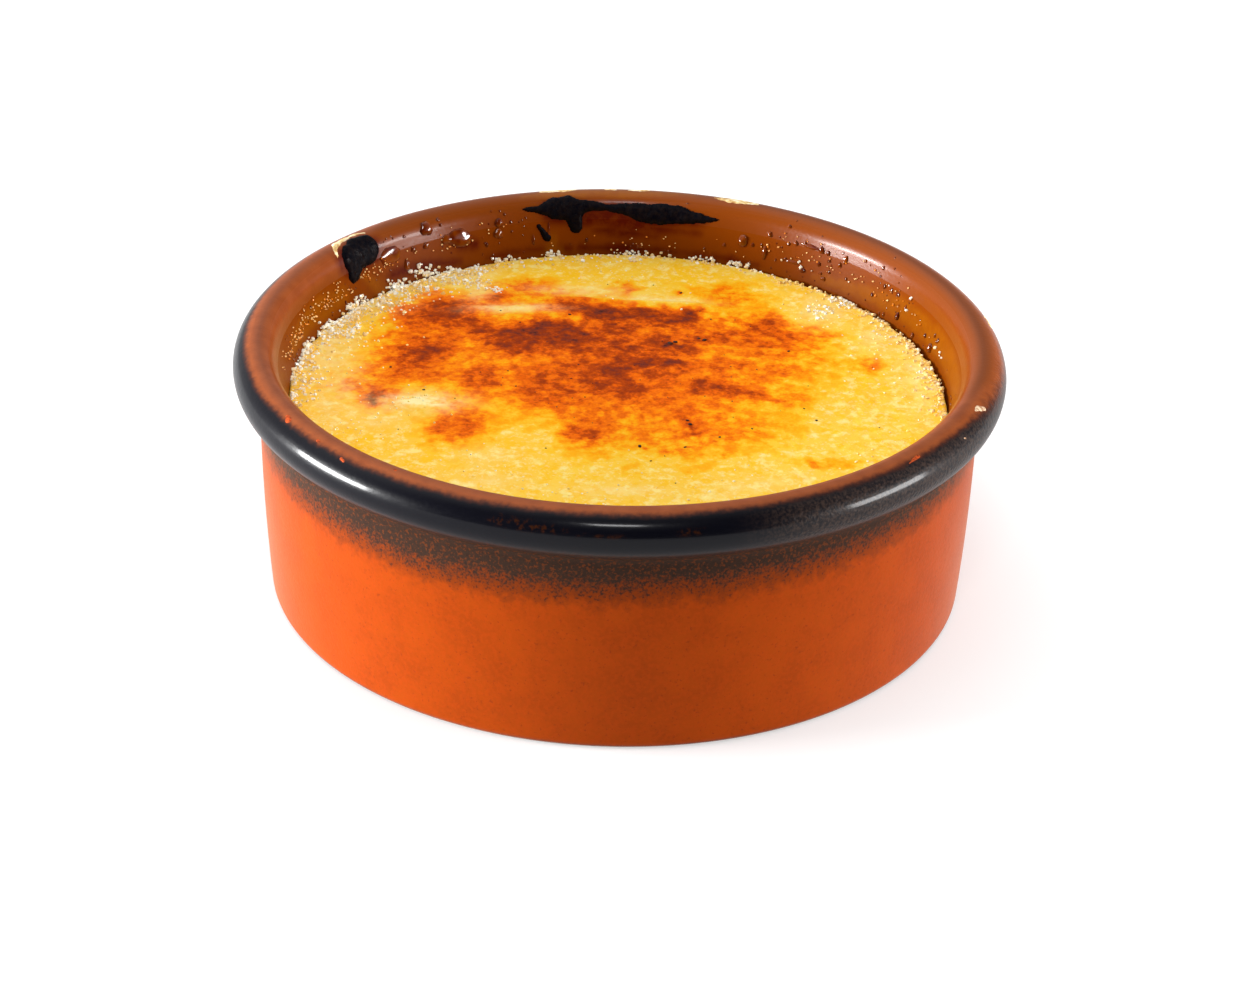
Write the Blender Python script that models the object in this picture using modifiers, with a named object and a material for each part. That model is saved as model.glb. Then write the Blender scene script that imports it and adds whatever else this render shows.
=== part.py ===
"""Creme brulee in its round earthenware dish: two turned solids, the dish and the baked custard in it.

Metres, +Z up. The origin is the centre of the flat underside that the dish stands on.
"""

import math

import bmesh
import bpy

# Driving dimensions of the dish
RIM_RADIUS = 0.0600
HEIGHT = 0.0414
FLOOR_THICKNESS = 0.0050

# The rolled rim: a round bead that stands out past the wall and falls away inwards to a lip
BEAD_RADIUS = 0.0039
BEAD_END_ANGLE = -62
LIP_RADIUS = 0.0533
LIP_DROP = 0.0023
CREST_RADIUS = RIM_RADIUS - BEAD_RADIUS
EQUATOR_HEIGHT = HEIGHT - BEAD_RADIUS

# The outer wall: a small hollow neck under the bead, then nearly upright, tucked in towards a rounded foot
NECK_DEPTH = 0.0016
WALL_RADIUS = 0.0560
WALL_FOOT_RADIUS = 0.0548
FOOT_ROUND = 0.0015

# The inner wall: it leans in from the lip to the fill line, then less down to a wide fillet at the floor
FILL_HEIGHT = 0.0318
FILL_WALL_RADIUS = 0.0515
INNER_FOOT_RADIUS = 0.0507
FLOOR_FILLET = 0.0070

# The custard: clear of the dish all over, and rounded over at the edge of its top
CUSTARD_CLEARANCE = 0.0003
CUSTARD_EDGE_ROUND = 0.0010
RELIEF_FADE = 0.0100
TOP_RING_SPACING = 0.0045

TURN_STEPS = 80
MERGE_DISTANCE = 0.00001
SMOOTH_ANGLE = math.radians(35)

# Swells of the custard's top: (x, y, radius, height) of each soft mound or dip
SWELLS = (
    (-0.012, 0.016, 0.016, 0.00045),
    (-0.024, 0.002, 0.010, 0.00030),
    (0.014, 0.004, 0.018, 0.00040),
    (0.006, -0.018, 0.014, -0.00035),
    (-0.018, -0.020, 0.011, 0.00025),
    (0.028, 0.018, 0.012, -0.00025),
)


def elliptic_arc(centre, radii, start, end, steps):
    """Points (radius, height) on an ellipse, from one angle in degrees to another, both ends included."""
    angles = [math.radians(start + (end - start) * i / steps) for i in range(steps + 1)]
    return [
        (centre[0] + radii[0] * math.cos(a), centre[1] + radii[1] * math.sin(a))
        for a in angles
    ]


def bend(start, control, end, steps):
    """Points on the quadratic curve between two points, without its first one."""
    shares = [i / steps for i in range(1, steps + 1)]
    return [
        tuple(
            a * (1 - t) ** 2 + 2 * b * t * (1 - t) + c * t * t
            for a, b, c in zip(start, control, end)
        )
        for t in shares
    ]


def inner_wall_radius(height):
    """The radius of the dish's inner wall at a height between its floor fillet and the fill line."""
    start = FLOOR_THICKNESS + FLOOR_FILLET
    share = (height - start) / (FILL_HEIGHT - start)
    return INNER_FOOT_RADIUS + share * (FILL_WALL_RADIUS - INNER_FOOT_RADIUS)


def dish_bottom(inset):
    """The dish's inside from the middle of its floor to the top of the fillet, moved inwards by inset."""
    fillet = FLOOR_FILLET - inset
    centre = (INNER_FOOT_RADIUS - FLOOR_FILLET, FLOOR_THICKNESS + FLOOR_FILLET)
    return [(0.0, FLOOR_THICKNESS + inset)] + elliptic_arc(centre, (fillet, fillet), -90, 0, 5)


def neck(bead_end):
    """The hollow curve from the end of the bead, going on in its direction, into the upright wall."""
    angle = math.radians(BEAD_END_ANGLE)
    drop = (bead_end[0] - WALL_RADIUS) * math.cos(angle) / -math.sin(angle)
    corner = (WALL_RADIUS, bead_end[1] - drop)
    return bend(bead_end, corner, (WALL_RADIUS, corner[1] - NECK_DEPTH), 4)


def dish_profile():
    """From the middle of the floor up the inside, over the rim, down the outside and in along the underside."""
    lip_centre = (CREST_RADIUS, HEIGHT - LIP_DROP)
    lip = elliptic_arc(lip_centre, (CREST_RADIUS - LIP_RADIUS, LIP_DROP), 180, 90, 6)
    bead_centre = (CREST_RADIUS, EQUATOR_HEIGHT)
    bead = elliptic_arc(bead_centre, (BEAD_RADIUS, BEAD_RADIUS), 90, BEAD_END_ANGLE, 11)
    under_bead = neck(bead[-1])
    wall_foot = (WALL_FOOT_RADIUS, FOOT_ROUND)
    wall = bend(under_bead[-1], (WALL_RADIUS, under_bead[-1][1] / 2), wall_foot, 4)
    foot_centre = (WALL_FOOT_RADIUS - FOOT_ROUND, FOOT_ROUND)
    foot = elliptic_arc(foot_centre, (FOOT_ROUND, FOOT_ROUND), 0, -90, 3)
    inside = dish_bottom(0.0) + [(FILL_WALL_RADIUS, FILL_HEIGHT)]
    return inside + lip + bead[1:] + under_bead + wall + foot[1:] + [(0.0, 0.0)]


def custard_profile():
    """From the middle of the top out to its rounded edge, then down inside the dish and in along the floor."""
    edge_height = FILL_HEIGHT - CUSTARD_EDGE_ROUND
    flat_radius = inner_wall_radius(edge_height) - CUSTARD_CLEARANCE - CUSTARD_EDGE_ROUND
    rings = round(flat_radius / TOP_RING_SPACING)
    top = [(flat_radius * i / rings, FILL_HEIGHT) for i in range(rings)]
    edge_centre = (flat_radius, edge_height)
    edge = elliptic_arc(edge_centre, (CUSTARD_EDGE_ROUND, CUSTARD_EDGE_ROUND), 90, 0, 4)
    return top + edge + dish_bottom(CUSTARD_CLEARANCE)[::-1]


def relief(x, y):
    """How far the custard's top stands above the fill line, fading out towards the wall."""
    edge = min(1.0, max(0.0, (FILL_WALL_RADIUS - math.hypot(x, y)) / RELIEF_FADE))
    swell = sum(
        height * math.exp(-((x - cx) ** 2 + (y - cy) ** 2) / radius**2)
        for cx, cy, radius, height in SWELLS
    )
    return swell * edge


def material(name, colour, roughness, subsurface=0.0):
    result = bpy.data.materials.new(name)
    result.use_nodes = True
    shader = result.node_tree.nodes["Principled BSDF"]
    shader.inputs["Base Color"].default_value = (*colour, 1.0)
    shader.inputs["Roughness"].default_value = roughness
    shader.inputs["Metallic"].default_value = 0.0
    shader.inputs["Subsurface Weight"].default_value = subsurface
    result.diffuse_color = (*colour, 1.0)
    return result


def turned(name, profile, finish, collection):
    """A closed solid of revolution about Z, from its profile of (radius, height) points."""
    mesh = bpy.data.meshes.new(name)
    edges = [(i, i + 1) for i in range(len(profile) - 1)]
    mesh.from_pydata([(r, 0.0, z) for r, z in profile], edges, [])
    obj = bpy.data.objects.new(name, mesh)
    collection.objects.link(obj)
    screw = obj.modifiers.new("turn", "SCREW")
    screw.axis = "Z"
    screw.angle = math.tau
    screw.steps = TURN_STEPS
    screw.render_steps = TURN_STEPS
    screw.use_merge_vertices = True
    screw.merge_threshold = MERGE_DISTANCE
    mesh.materials.append(finish)
    return obj


def apply_modifiers(obj):
    """Replaces the object's mesh by its evaluated one, so that its points can be moved."""
    graph = bpy.context.evaluated_depsgraph_get()
    mesh = bpy.data.meshes.new_from_object(obj.evaluated_get(graph))
    mesh.name = obj.name
    obj.modifiers.clear()
    obj.data = mesh


def raise_relief(obj):
    """Lifts each point of the flat top by the relief there."""
    shape = bmesh.new()
    shape.from_mesh(obj.data)
    for vert in shape.verts:
        if vert.co.z > FILL_HEIGHT - CUSTARD_EDGE_ROUND / 2:
            vert.co.z += relief(vert.co.x, vert.co.y)
    shape.to_mesh(obj.data)
    shape.free()


def shade_round(obj):
    obj.data.shade_smooth()
    obj.data.set_sharp_from_angle(angle=SMOOTH_ANGLE)


def main():
    for obj in list(bpy.data.objects):
        bpy.data.objects.remove(obj)
    collection = bpy.data.collections.new("creme_brulee")
    bpy.context.scene.collection.children.link(collection)

    earthenware = material("glazed_earthenware", (0.42, 0.10, 0.025), 0.35)
    baked_custard = material("baked_custard", (0.85, 0.58, 0.16), 0.40, subsurface=0.3)

    dish = turned("dish", dish_profile(), earthenware, collection)
    custard = turned("custard", custard_profile(), baked_custard, collection)
    for obj in (dish, custard):
        apply_modifiers(obj)
    raise_relief(custard)
    for obj in (dish, custard):
        shade_round(obj)


main()
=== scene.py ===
"""The looks of a creme brulee in its earthenware dish: glaze, browned custard, sugar, burnt caramel.

Metres, +Z up. The dish's axis is the Z axis and the camera looks from the -Y side. Places on the dish
are given as an angle round it, in degrees from +X, and a run: the distance in millimetres along the
dish's outline from the crest of its rim, above 0 down the outside and below 0 down the inside. Places
on the custard are x and y in millimetres from its middle.
"""
import math
import random

import bmesh
import bpy
import numpy as np
from mathutils import Matrix, Vector


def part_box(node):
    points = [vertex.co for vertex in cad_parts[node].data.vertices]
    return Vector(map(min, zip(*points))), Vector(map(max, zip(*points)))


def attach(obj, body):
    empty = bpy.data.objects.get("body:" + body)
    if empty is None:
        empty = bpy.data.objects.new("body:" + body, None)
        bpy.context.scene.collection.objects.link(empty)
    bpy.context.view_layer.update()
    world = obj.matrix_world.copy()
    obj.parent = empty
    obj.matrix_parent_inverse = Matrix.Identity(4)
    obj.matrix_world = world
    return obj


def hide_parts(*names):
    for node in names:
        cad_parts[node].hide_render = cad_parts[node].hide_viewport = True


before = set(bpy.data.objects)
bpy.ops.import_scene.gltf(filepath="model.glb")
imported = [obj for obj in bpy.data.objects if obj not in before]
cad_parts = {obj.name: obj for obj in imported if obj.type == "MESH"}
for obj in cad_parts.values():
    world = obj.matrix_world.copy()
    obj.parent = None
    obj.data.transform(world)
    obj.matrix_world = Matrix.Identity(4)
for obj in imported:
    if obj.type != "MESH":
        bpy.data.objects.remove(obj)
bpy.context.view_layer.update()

MM = 0.001
SEED = 20

# ---- sizes of the dish, in millimetres
RIM_RADIUS = round(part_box("dish")[1].y / MM, 2)
HEIGHT = round(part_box("dish")[1].z / MM, 2)
BEAD_RADIUS = 3.9
BEAD_END_ANGLE = -62
LIP_RADIUS = 53.3
LIP_DROP = 3.5
LIP_END_ANGLE = 165
CREST_RADIUS = RIM_RADIUS - BEAD_RADIUS
EQUATOR_HEIGHT = HEIGHT - BEAD_RADIUS
NECK_DEPTH = 1.6
WALL_RADIUS = 56.0
WALL_FOOT_RADIUS = 54.8
FOOT_ROUND = 1.5
FLOOR_THICKNESS = 5.0
FLOOR_FILLET = 7.0
INNER_FOOT_RADIUS = 50.7
FILL_HEIGHT = 31.8
FILL_WALL_RADIUS = 51.5
DISH_STEPS = 400

# Heights at which the dish's finish changes: outside, then inside
BARE_WALL_TOP = 31.3
GLAZE_END = 34.5
DULL_WALL_TOP = 37.5
LIP_GLAZE_TOP = 40.6


# ---- smooth random fields
class Field:
    """Smooth noise over a plane, about -1 to 1, from a seeded lattice that repeats after some cells."""

    def __init__(self, seed, cells=256):
        angle = np.random.default_rng(seed).uniform(0, math.tau, (cells, cells))
        self.slope_x, self.slope_y = np.cos(angle), np.sin(angle)
        self.cells = cells

    def corner(self, column, row, dx, dy):
        column, row = column % self.cells, row % self.cells
        return self.slope_x[column, row] * dx + self.slope_y[column, row] * dy

    def plain(self, x, y):
        column, row = np.floor(x).astype(int), np.floor(y).astype(int)
        dx, dy = x - column, y - row
        ease_x, ease_y = (d**3 * (d * (d * 6 - 15) + 10) for d in (dx, dy))
        low, high = (
            self.corner(column, row + i, dx, dy - i) * (1 - ease_x)
            + self.corner(column + 1, row + i, dx - 1, dy - i) * ease_x
            for i in (0, 1)
        )
        return 1.5 * (low * (1 - ease_y) + high * ease_y)

    def __call__(self, x, y, size, octaves=3, gain=0.5):
        """The field at x, y, with features of the given size and finer ones added."""
        x, y = np.asarray(x, float), np.asarray(y, float)
        total = sum(gain**i * self.plain(x / size * 2**i, y / size * 2**i) for i in range(octaves))
        return total / sum(gain**i for i in range(octaves))


def smooth(value, low, high):
    """0 below low, 1 above high, and a smooth step between; low may be above high."""
    share = np.clip((np.asarray(value, float) - low) / (high - low), 0.0, 1.0)
    return share * share * (3 - 2 * share)


def turn_between(angle, start, end, fade):
    """1 where an angle in degrees lies from start up to end, fading out over some degrees on both sides."""
    middle, half = (start + end) / 2, (end - start) / 2
    off = np.abs((np.asarray(angle, float) - middle + 180) % 360 - 180)
    return smooth(off, half + fade, half)


# ---- the dish's outline
def arc(centre, radii, start, end, steps):
    angles = np.radians(np.linspace(start, end, steps + 1))
    return np.stack([centre[0] + radii[0] * np.cos(angles), centre[1] + radii[1] * np.sin(angles)], -1)


def bend(start, control, end, steps):
    share = np.linspace(0, 1, steps + 1)[:, None]
    start, control, end = (np.array(point, float) for point in (start, control, end))
    return start * (1 - share) ** 2 + control * 2 * share * (1 - share) + end * share**2


def straight(start, end, steps):
    return np.linspace(start, end, steps + 1)


def dish_outline():
    """Points (radius, height): out over the floor, up the inside, over the rim and down the outside."""
    fillet_centre = (INNER_FOOT_RADIUS - FLOOR_FILLET, FLOOR_THICKNESS + FLOOR_FILLET)
    fillet = arc(fillet_centre, (FLOOR_FILLET, FLOOR_FILLET), -90, 0, 6)
    lip_centre = (CREST_RADIUS, HEIGHT - LIP_DROP)
    lip = arc(lip_centre, (CREST_RADIUS - LIP_RADIUS, LIP_DROP), LIP_END_ANGLE, 90, 16)
    bead = arc((CREST_RADIUS, EQUATOR_HEIGHT), (BEAD_RADIUS, BEAD_RADIUS), 90, BEAD_END_ANGLE, 44)
    slope = math.radians(BEAD_END_ANGLE)
    drop = (bead[-1][0] - WALL_RADIUS) * math.cos(slope) / -math.sin(slope)
    corner = (WALL_RADIUS, bead[-1][1] - drop)
    neck = bend(bead[-1], corner, (WALL_RADIUS, corner[1] - NECK_DEPTH), 10)
    wall = bend(neck[-1], (WALL_RADIUS, neck[-1][1] / 2), (WALL_FOOT_RADIUS, FOOT_ROUND), 34)
    foot = arc((WALL_FOOT_RADIUS - FOOT_ROUND, FOOT_ROUND), (FOOT_ROUND, FOOT_ROUND), 0, -90, 7)
    pieces = [
        straight((0, FLOOR_THICKNESS), fillet[0], 6),
        fillet[1:],
        straight(fillet[-1], (FILL_WALL_RADIUS, FILL_HEIGHT), 8)[1:],
        straight((FILL_WALL_RADIUS, FILL_HEIGHT), lip[0], 22)[1:],
        lip[1:],
        bead[1:],
        neck[1:],
        wall[1:],
        foot[1:],
        straight(foot[-1], (0, 0), 6)[1:],
    ]
    return np.concatenate(pieces)


OUTLINE = dish_outline()
OUTLINE_RUN = np.concatenate([[0], np.cumsum(np.hypot(*np.diff(OUTLINE, axis=0).T))])
OUTLINE_RUN = OUTLINE_RUN - OUTLINE_RUN[np.argmax(OUTLINE[:, 1])]
SLOPE_REACH = 0.15
MM_PER_DEGREE = math.radians(CREST_RADIUS)


def outline_at(run):
    """The radius and the height of the outline at a run."""
    return [np.interp(run, OUTLINE_RUN, OUTLINE[:, i]) for i in (0, 1)]


def on_dish(angle, run, lift=0.0):
    """The point in metres at an angle and a run, lifted off the dish's surface by some millimetres."""
    angle, run = np.radians(np.asarray(angle, float)), np.asarray(run, float)
    radius, height = outline_at(run)
    slope = np.subtract(outline_at(run + SLOPE_REACH), outline_at(run - SLOPE_REACH))
    length = np.hypot(*slope)
    radius = radius - slope[1] / length * lift
    height = height + slope[0] / length * lift
    return np.stack([radius * np.cos(angle), radius * np.sin(angle), height], -1) * MM




def stroke_depth(strokes, angle, run):
    """How far a place on the dish lies inside the edge of some strokes, in mm; below 0 outside."""
    depth = np.full(np.broadcast(angle, run).shape, -99.0)
    for stations in strokes:
        for (a0, r0, w0), (a1, r1, w1) in zip(stations, stations[1:]):
            ax, ay = (a1 - a0) * MM_PER_DEGREE, r1 - r0
            px, py = (angle - a0) * MM_PER_DEGREE, run - r0
            share = np.clip((px * ax + py * ay) / (ax * ax + ay * ay), 0, 1)
            off = np.hypot(px - share * ax, py - share * ay)
            depth = np.maximum(depth, w0 + share * (w1 - w0) - off)
    return depth


# ---- meshes
def mesh_object(name, points, faces, material, values=None):
    """A smooth mesh object from points in metres, with a float attribute for each named set of values."""
    mesh = bpy.data.meshes.new(name)
    mesh.from_pydata(np.asarray(points).tolist(), [], faces)
    for key, numbers in (values or {}).items():
        layer = mesh.attributes.new(key, "FLOAT", "POINT")
        layer.data.foreach_set("value", np.asarray(numbers, np.float32))
    mesh.materials.append(material)
    mesh.shade_smooth()
    obj = bpy.data.objects.new(name, mesh)
    bpy.context.scene.collection.objects.link(obj)
    return obj


def ring_faces(rings, steps):
    """Faces between neighbouring rings of points, each ring with the same number of steps round."""
    faces = []
    for i in range(rings - 1):
        for j in range(steps):
            k = (j + 1) % steps
            faces.append((i * steps + j, i * steps + k, (i + 1) * steps + k, (i + 1) * steps + j))
    return faces


# ---- materials
class Nodes:
    """A node tree, written with a few short calls."""

    def __init__(self, tree):
        self.tree = tree

    def add(self, kind, inputs=None, **settings):
        node = self.tree.nodes.new("ShaderNode" + kind)
        for key, value in settings.items():
            setattr(node, key, value)
        for key, value in (inputs or {}).items():
            self.feed(node.inputs[key], value)
        return node

    def feed(self, socket, value):
        if isinstance(value, bpy.types.NodeSocket):
            self.tree.links.new(value, socket)
        elif socket.type == "RGBA":
            socket.default_value = (*value, 1.0)
        else:
            socket.default_value = value

    def sum(self, a, b):
        return self.add("Math", {0: a, 1: b}, operation="ADD").outputs[0]

    def times(self, a, b):
        return self.add("Math", {0: a, 1: b}, operation="MULTIPLY").outputs[0]

    def step(self, value, low, high, start=0.0, end=1.0):
        """A smooth step from start at low to end at high."""
        inputs = {"Value": value, "From Min": low, "From Max": high, "To Min": start, "To Max": end}
        return self.add("MapRange", inputs, interpolation_type="SMOOTHSTEP").outputs["Result"]


class Finish(Nodes):
    """A material, with a place in millimetres and calls for what goes into its shader."""

    def __init__(self, name, **constants):
        self.material = bpy.data.materials.new(name)
        self.material.use_nodes = True
        super().__init__(self.material.node_tree)
        self.shader = self.tree.nodes["Principled BSDF"]
        for socket, value in constants.items():
            self.shader.inputs[socket.replace("_", " ")].default_value = value
        place = self.add("TexCoord").outputs["Object"]
        self.mm = self.add("VectorMath", {0: place, "Scale": 1 / MM}, operation="SCALE").outputs[0]

    def set(self, socket, value):
        self.feed(self.shader.inputs[socket], value)

    def attribute(self, name):
        return self.add("Attribute", attribute_name=name).outputs["Fac"]

    def noise(self, size, detail=2.0, roughness=0.5):
        """Noise from 0 to 1 with features of a size in millimetres."""
        inputs = {"Vector": self.mm, "Scale": 1 / size, "Detail": detail, "Roughness": roughness}
        return self.add("TexNoise", inputs).outputs["Fac"]

    def mix(self, share, a, b):
        node = self.add("Mix", data_type="RGBA")
        for socket, value in (("Factor_Float", share), ("A_Color", a), ("B_Color", b)):
            self.feed(next(s for s in node.inputs if s.identifier == socket), value)
        return next(s for s in node.outputs if s.identifier == "Result_Color")

    def ramp(self, value, stops):
        node = self.add("ValToRGB", {"Fac": value})
        elements = node.color_ramp.elements
        while len(elements) < len(stops):
            elements.new(1.0)
        for element, (place, colour) in zip(elements, stops):
            element.position = place
            element.color = (*colour, 1.0)
        return node.outputs["Color"]

    def bump(self, height, distance, strength=1.0):
        inputs = {"Height": height, "Distance": distance * MM, "Strength": strength}
        self.set("Normal", self.add("Bump", inputs).outputs["Normal"])


TERRACOTTA = (0.27, 0.037, 0.0005)
DEEP_TERRACOTTA = (0.235, 0.031, 0.0005)
BROWN_GLAZE = (0.245, 0.055, 0.01)
DEEP_GLAZE = (0.205, 0.042, 0.006)
POOLED_AND_SHADED_GLAZE = (0.18, 0.036, 0.001)
BLACK_GLAZE = (0.002, 0.002, 0.004)
SOOT = (0.027, 0.014, 0.009)
SINGED = (0.12, 0.02, 0.002)
RUST = (0.11, 0.026, 0.006)
WET_STAIN_AND_SHADE = (0.08, 0.006, 0.001)
GOLDEN_SYRUP = (0.23, 0.06, 0.001)


def glaze_finish(name, shine, gloss):
    """Brown glaze, black outside; shine is that of the ground, gloss that of a clear coat over it."""
    f = Finish(name, Specular_IOR_Level=shine, Coat_Weight=gloss, Coat_Roughness=0.12)
    fine = f.noise(0.45, 2.0, 0.6)
    glaze = f.mix(f.step(f.noise(2.6, 3.0), 0.3, 0.75), BROWN_GLAZE, DEEP_GLAZE)
    # Darker glaze down the inside where it pools, and the same darker colour over the rim on the right and
    # back as painted shade.
    glaze = f.mix(f.attribute("pooled_and_shaded"), glaze, POOLED_AND_SHADED_GLAZE)
    patchy = f.step(f.noise(1.6, 3.0, 0.6), 0.3, 0.6, 0.6, 1.0)
    # Dark red stains on the inner wall, and painted shade low on the wall next to the custard.
    glaze = f.mix(f.times(f.attribute("stain_and_shade"), patchy), glaze, WET_STAIN_AND_SHADE)
    glaze = f.mix(f.times(f.attribute("gold"), patchy), glaze, GOLDEN_SYRUP)
    matte, pitted = f.attribute("matte"), f.attribute("pitted")
    rusty = f.times(f.attribute("rusty"), f.step(f.noise(0.9, 3.0, 0.6), 0.48, 0.66))
    black = f.mix(rusty, BLACK_GLAZE, (0.026, 0.007, 0.002))
    black = f.mix(f.times(pitted, f.step(fine, 0.35, 0.7, 0.1, 0.8)), black, (0.04, 0.024, 0.018))
    outer = f.mix(matte, black, sooty_clay(f))
    ragged = f.sum(f.attribute("black_edge"), f.step(f.noise(1.0), 0.25, 0.75, -0.15, 0.15))
    colour = f.mix(f.step(ragged, -1.0, 0.2), glaze, (0.05, 0.011, 0.004))
    f.set("Base Color", f.mix(f.step(ragged, -0.35, 0.65), colour, outer))
    rough = f.sum(f.step(matte, 0.0, 1.0, 0.3, 0.55), f.times(pitted, 0.1))
    f.set("Roughness", f.sum(rough, f.step(fine, 0.3, 0.7, -0.02, 0.03)))
    pits = f.times(f.step(f.noise(0.55, 2.0, 0.6), 0.35, 0.65), f.sum(f.times(pitted, 1.0), 0.2))
    f.bump(f.sum(pits, f.noise(3.0)), 0.05, 0.5)
    return f.material


def sooty_clay(f):
    """Clay under black glaze, which is a whole film high up and breaks up into specks lower down."""
    small, large = f.noise(0.4, 2.0, 0.6), f.noise(1.3, 2.0, 0.6)
    cover = f.sum(f.attribute("cover"), f.step(large, 0.3, 0.7, -0.16, 0.16))
    film = f.step(f.sum(cover, f.step(small, 0.3, 0.7, -0.2, 0.2)), 0.12, 0.9)
    soot = f.mix(f.step(f.noise(0.5, 2.0, 0.6), 0.5, 0.66, 0.0, 0.7), SOOT, RUST)
    clay = f.mix(f.step(cover, -0.35, 0.3, 0.0, 0.75), bare_clay(f), SINGED)
    specks = f.times(f.step(small, 0.56, 0.68, 0.0, 0.7), f.step(cover, -0.3, 0.35))
    return f.mix(specks, f.mix(film, clay, soot), (0.02, 0.01, 0.007))


def bare_clay(f):
    """The colour of the bare wall: slightly mottled, with fine grit."""
    mottled = f.mix(f.step(f.noise(6.0, 3.0), 0.3, 0.7), TERRACOTTA, DEEP_TERRACOTTA)
    mottled = f.mix(f.step(f.noise(0.7, 2.0, 0.6), 0.35, 0.7, 0.0, 0.6), mottled, (0.3, 0.036, 0.001))
    return f.mix(f.step(f.noise(0.5, 2.0, 0.6), 0.62, 0.72, 0.0, 0.6), mottled, (0.15, 0.019, 0.003))


def clay_finish(name, bloom):
    """Terracotta with some dusty bloom, sooty under the rim, and darkened at its foot by a painted contact
    shadow.
    """
    dusty = {"Sheen_Weight": bloom, "Sheen_Roughness": 0.3, "Sheen_Tint": (1.0, 0.93, 0.75, 1.0)}
    f = Finish(name, Specular_IOR_Level=0.03, **dusty)
    fine = f.noise(0.45, 2.0, 0.6)
    # The foot attribute blends in a painted contact shadow: dark brown along the bottom edge of the wall.
    f.set("Base Color", f.mix(f.attribute("foot"), sooty_clay(f), (0.07, 0.01, 0.002)))
    f.set("Roughness", f.step(fine, 0.3, 0.7, 0.42, 0.5))
    f.bump(f.sum(f.times(fine, 0.8), f.noise(3.0)), 0.05, 0.5)
    return f.material


def custard_finish():
    """Set custard, from pale yellow through orange to dark red-brown where the sugar caramelised."""
    inside = {"Subsurface_Weight": 0.2, "Subsurface_Scale": 0.003, "Subsurface_Radius": (1.0, 0.6, 0.25)}
    f = Finish("baked_custard", Specular_IOR_Level=0.02, **inside)
    char = f.attribute("char")
    grain = f.noise(0.5, 2.0, 0.6)
    blotch = f.noise(2.6, 3.0, 0.65)
    browned = f.step(char, 0.12, 0.4)
    tone = f.sum(char, f.times(browned, f.step(grain, 0.3, 0.7, -0.035, 0.035)))
    tone = f.sum(tone, f.step(blotch, 0.3, 0.7, -0.11, 0.11))
    tone = f.sum(tone, f.times(browned, f.step(f.noise(1.5, 2.0, 0.5), 0.35, 0.65, -0.07, 0.07)))
    pale = f.mix(f.attribute("warm"), (0.96, 0.6, 0.062), (0.96, 0.48, 0.028))
    pale = f.mix(f.attribute("yolky"), pale, (0.96, 0.52, 0.004))
    pale = f.mix(f.step(f.noise(2.6, 4.0, 0.65), 0.48, 0.62, 0.0, 0.85), pale, (0.96, 0.51, 0.006))
    pale = f.mix(f.step(f.noise(2.1, 4.0, 0.65), 0.5, 0.34, 0.0, 0.8), pale, (0.97, 0.76, 0.25))
    pale = f.mix(f.step(f.noise(0.7, 2.0, 0.6), 0.55, 0.68, 0.0, 0.3), pale, (0.97, 0.84, 0.48))
    colours = f.ramp(tone, [
        (0.14, (0.96, 0.54, 0.025)), (0.28, (0.96, 0.39, 0.004)),
        (0.42, (0.94, 0.21, 0.001)), (0.56, (0.78, 0.115, 0.001)),
        (0.68, (0.47, 0.057, 0.001)), (0.8, (0.28, 0.033, 0.003)),
        (0.9, (0.18, 0.028, 0.014)), (1.0, (0.035, 0.012, 0.012)),
    ])
    colour = f.mix(f.step(tone, 0.05, 0.2), pale, colours)
    creamy = f.times(f.attribute("creamy"), f.step(f.noise(2.2, 3.0, 0.65), 0.36, 0.6, 0.35, 1.0))
    colour = f.mix(creamy, colour, (0.97, 0.81, 0.37))
    f.set("Base Color", colour)
    f.set("Roughness", f.step(grain, 0.3, 0.7, 0.38, 0.55))
    f.bump(f.sum(f.noise(0.5, 2.0, 0.6), f.noise(1.8)), 0.1, 0.5)
    return f.material


# ---- the dish
# Stains on the dish as strokes of stations: angle, run and half width; the lowest strokes, beside the
# custard, are painted shade
STAINS_AND_SHADE = (
    ((97, -5.2, 1.3), (91, -5.7, 1.5), (84, -6.8, 1.2), (76, -6.8, 0.8)), ((95, -7.2, 1), (84, -8, 0.8)),
    # The strokes near run -10 below, low on the wall beside the custard, are painted shade.
    ((98, -10.2, 0.9), (80, -10.4, 0.9), (64, -10.4, 0.6)),
    ((116, -10.3, 0.7), (108, -10, 0.9), (100, -10.2, 0.8)),
    ((137, -8.8, 0.8), (130, -9, 1.2), (122, -10, 0.8)), ((121, -6.9, 1.6), (118, -7.6, 1.2)),
    ((146.5, -3.4, 2.9), (140.3, -3.6, 2.9), (142.5, -5.4, 1.6)),
    ((103, -3.4, 2.6), (97, -4.4, 2.6), (85, -4.8, 2.4), (76, -4.8, 1.4)),
)
GOLDEN_RUNS = (
    ((143, -7.4, 0.9), (141, -9.4, 1.5), (139.5, -11, 1.1)),
    ((103, -7.6, 0.4), (103.2, -9.6, 1.2), (103, -11.2, 2)),
    ((172, -8.6, 1.4), (160, -7.8, 2), (150, -8.4, 1.4)),
    ((108, -0.6, 0.8), (98, -0.2, 1.6), (86, 0.2, 1.6), (78, 0.2, 0.8)),
    ((52, -9.8, 0.7), (30, -8.2, 2), (8, -8, 2.2), (-12, -8.6, 1.8)),
)
RUSTY_PATCHES = (
    ((-107, 3.9, 0.8), (-102, 4.3, 0.9), (-97, 4.4, 0.5)), ((-81, 4.4, 0.5), (-78.5, 4.5, 0.5)),
    ((-95, 4.9, 0.3), (-89, 5, 0.3)), ((-44, 2, 0.5), (-38, 2, 0.4)),
)

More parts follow.
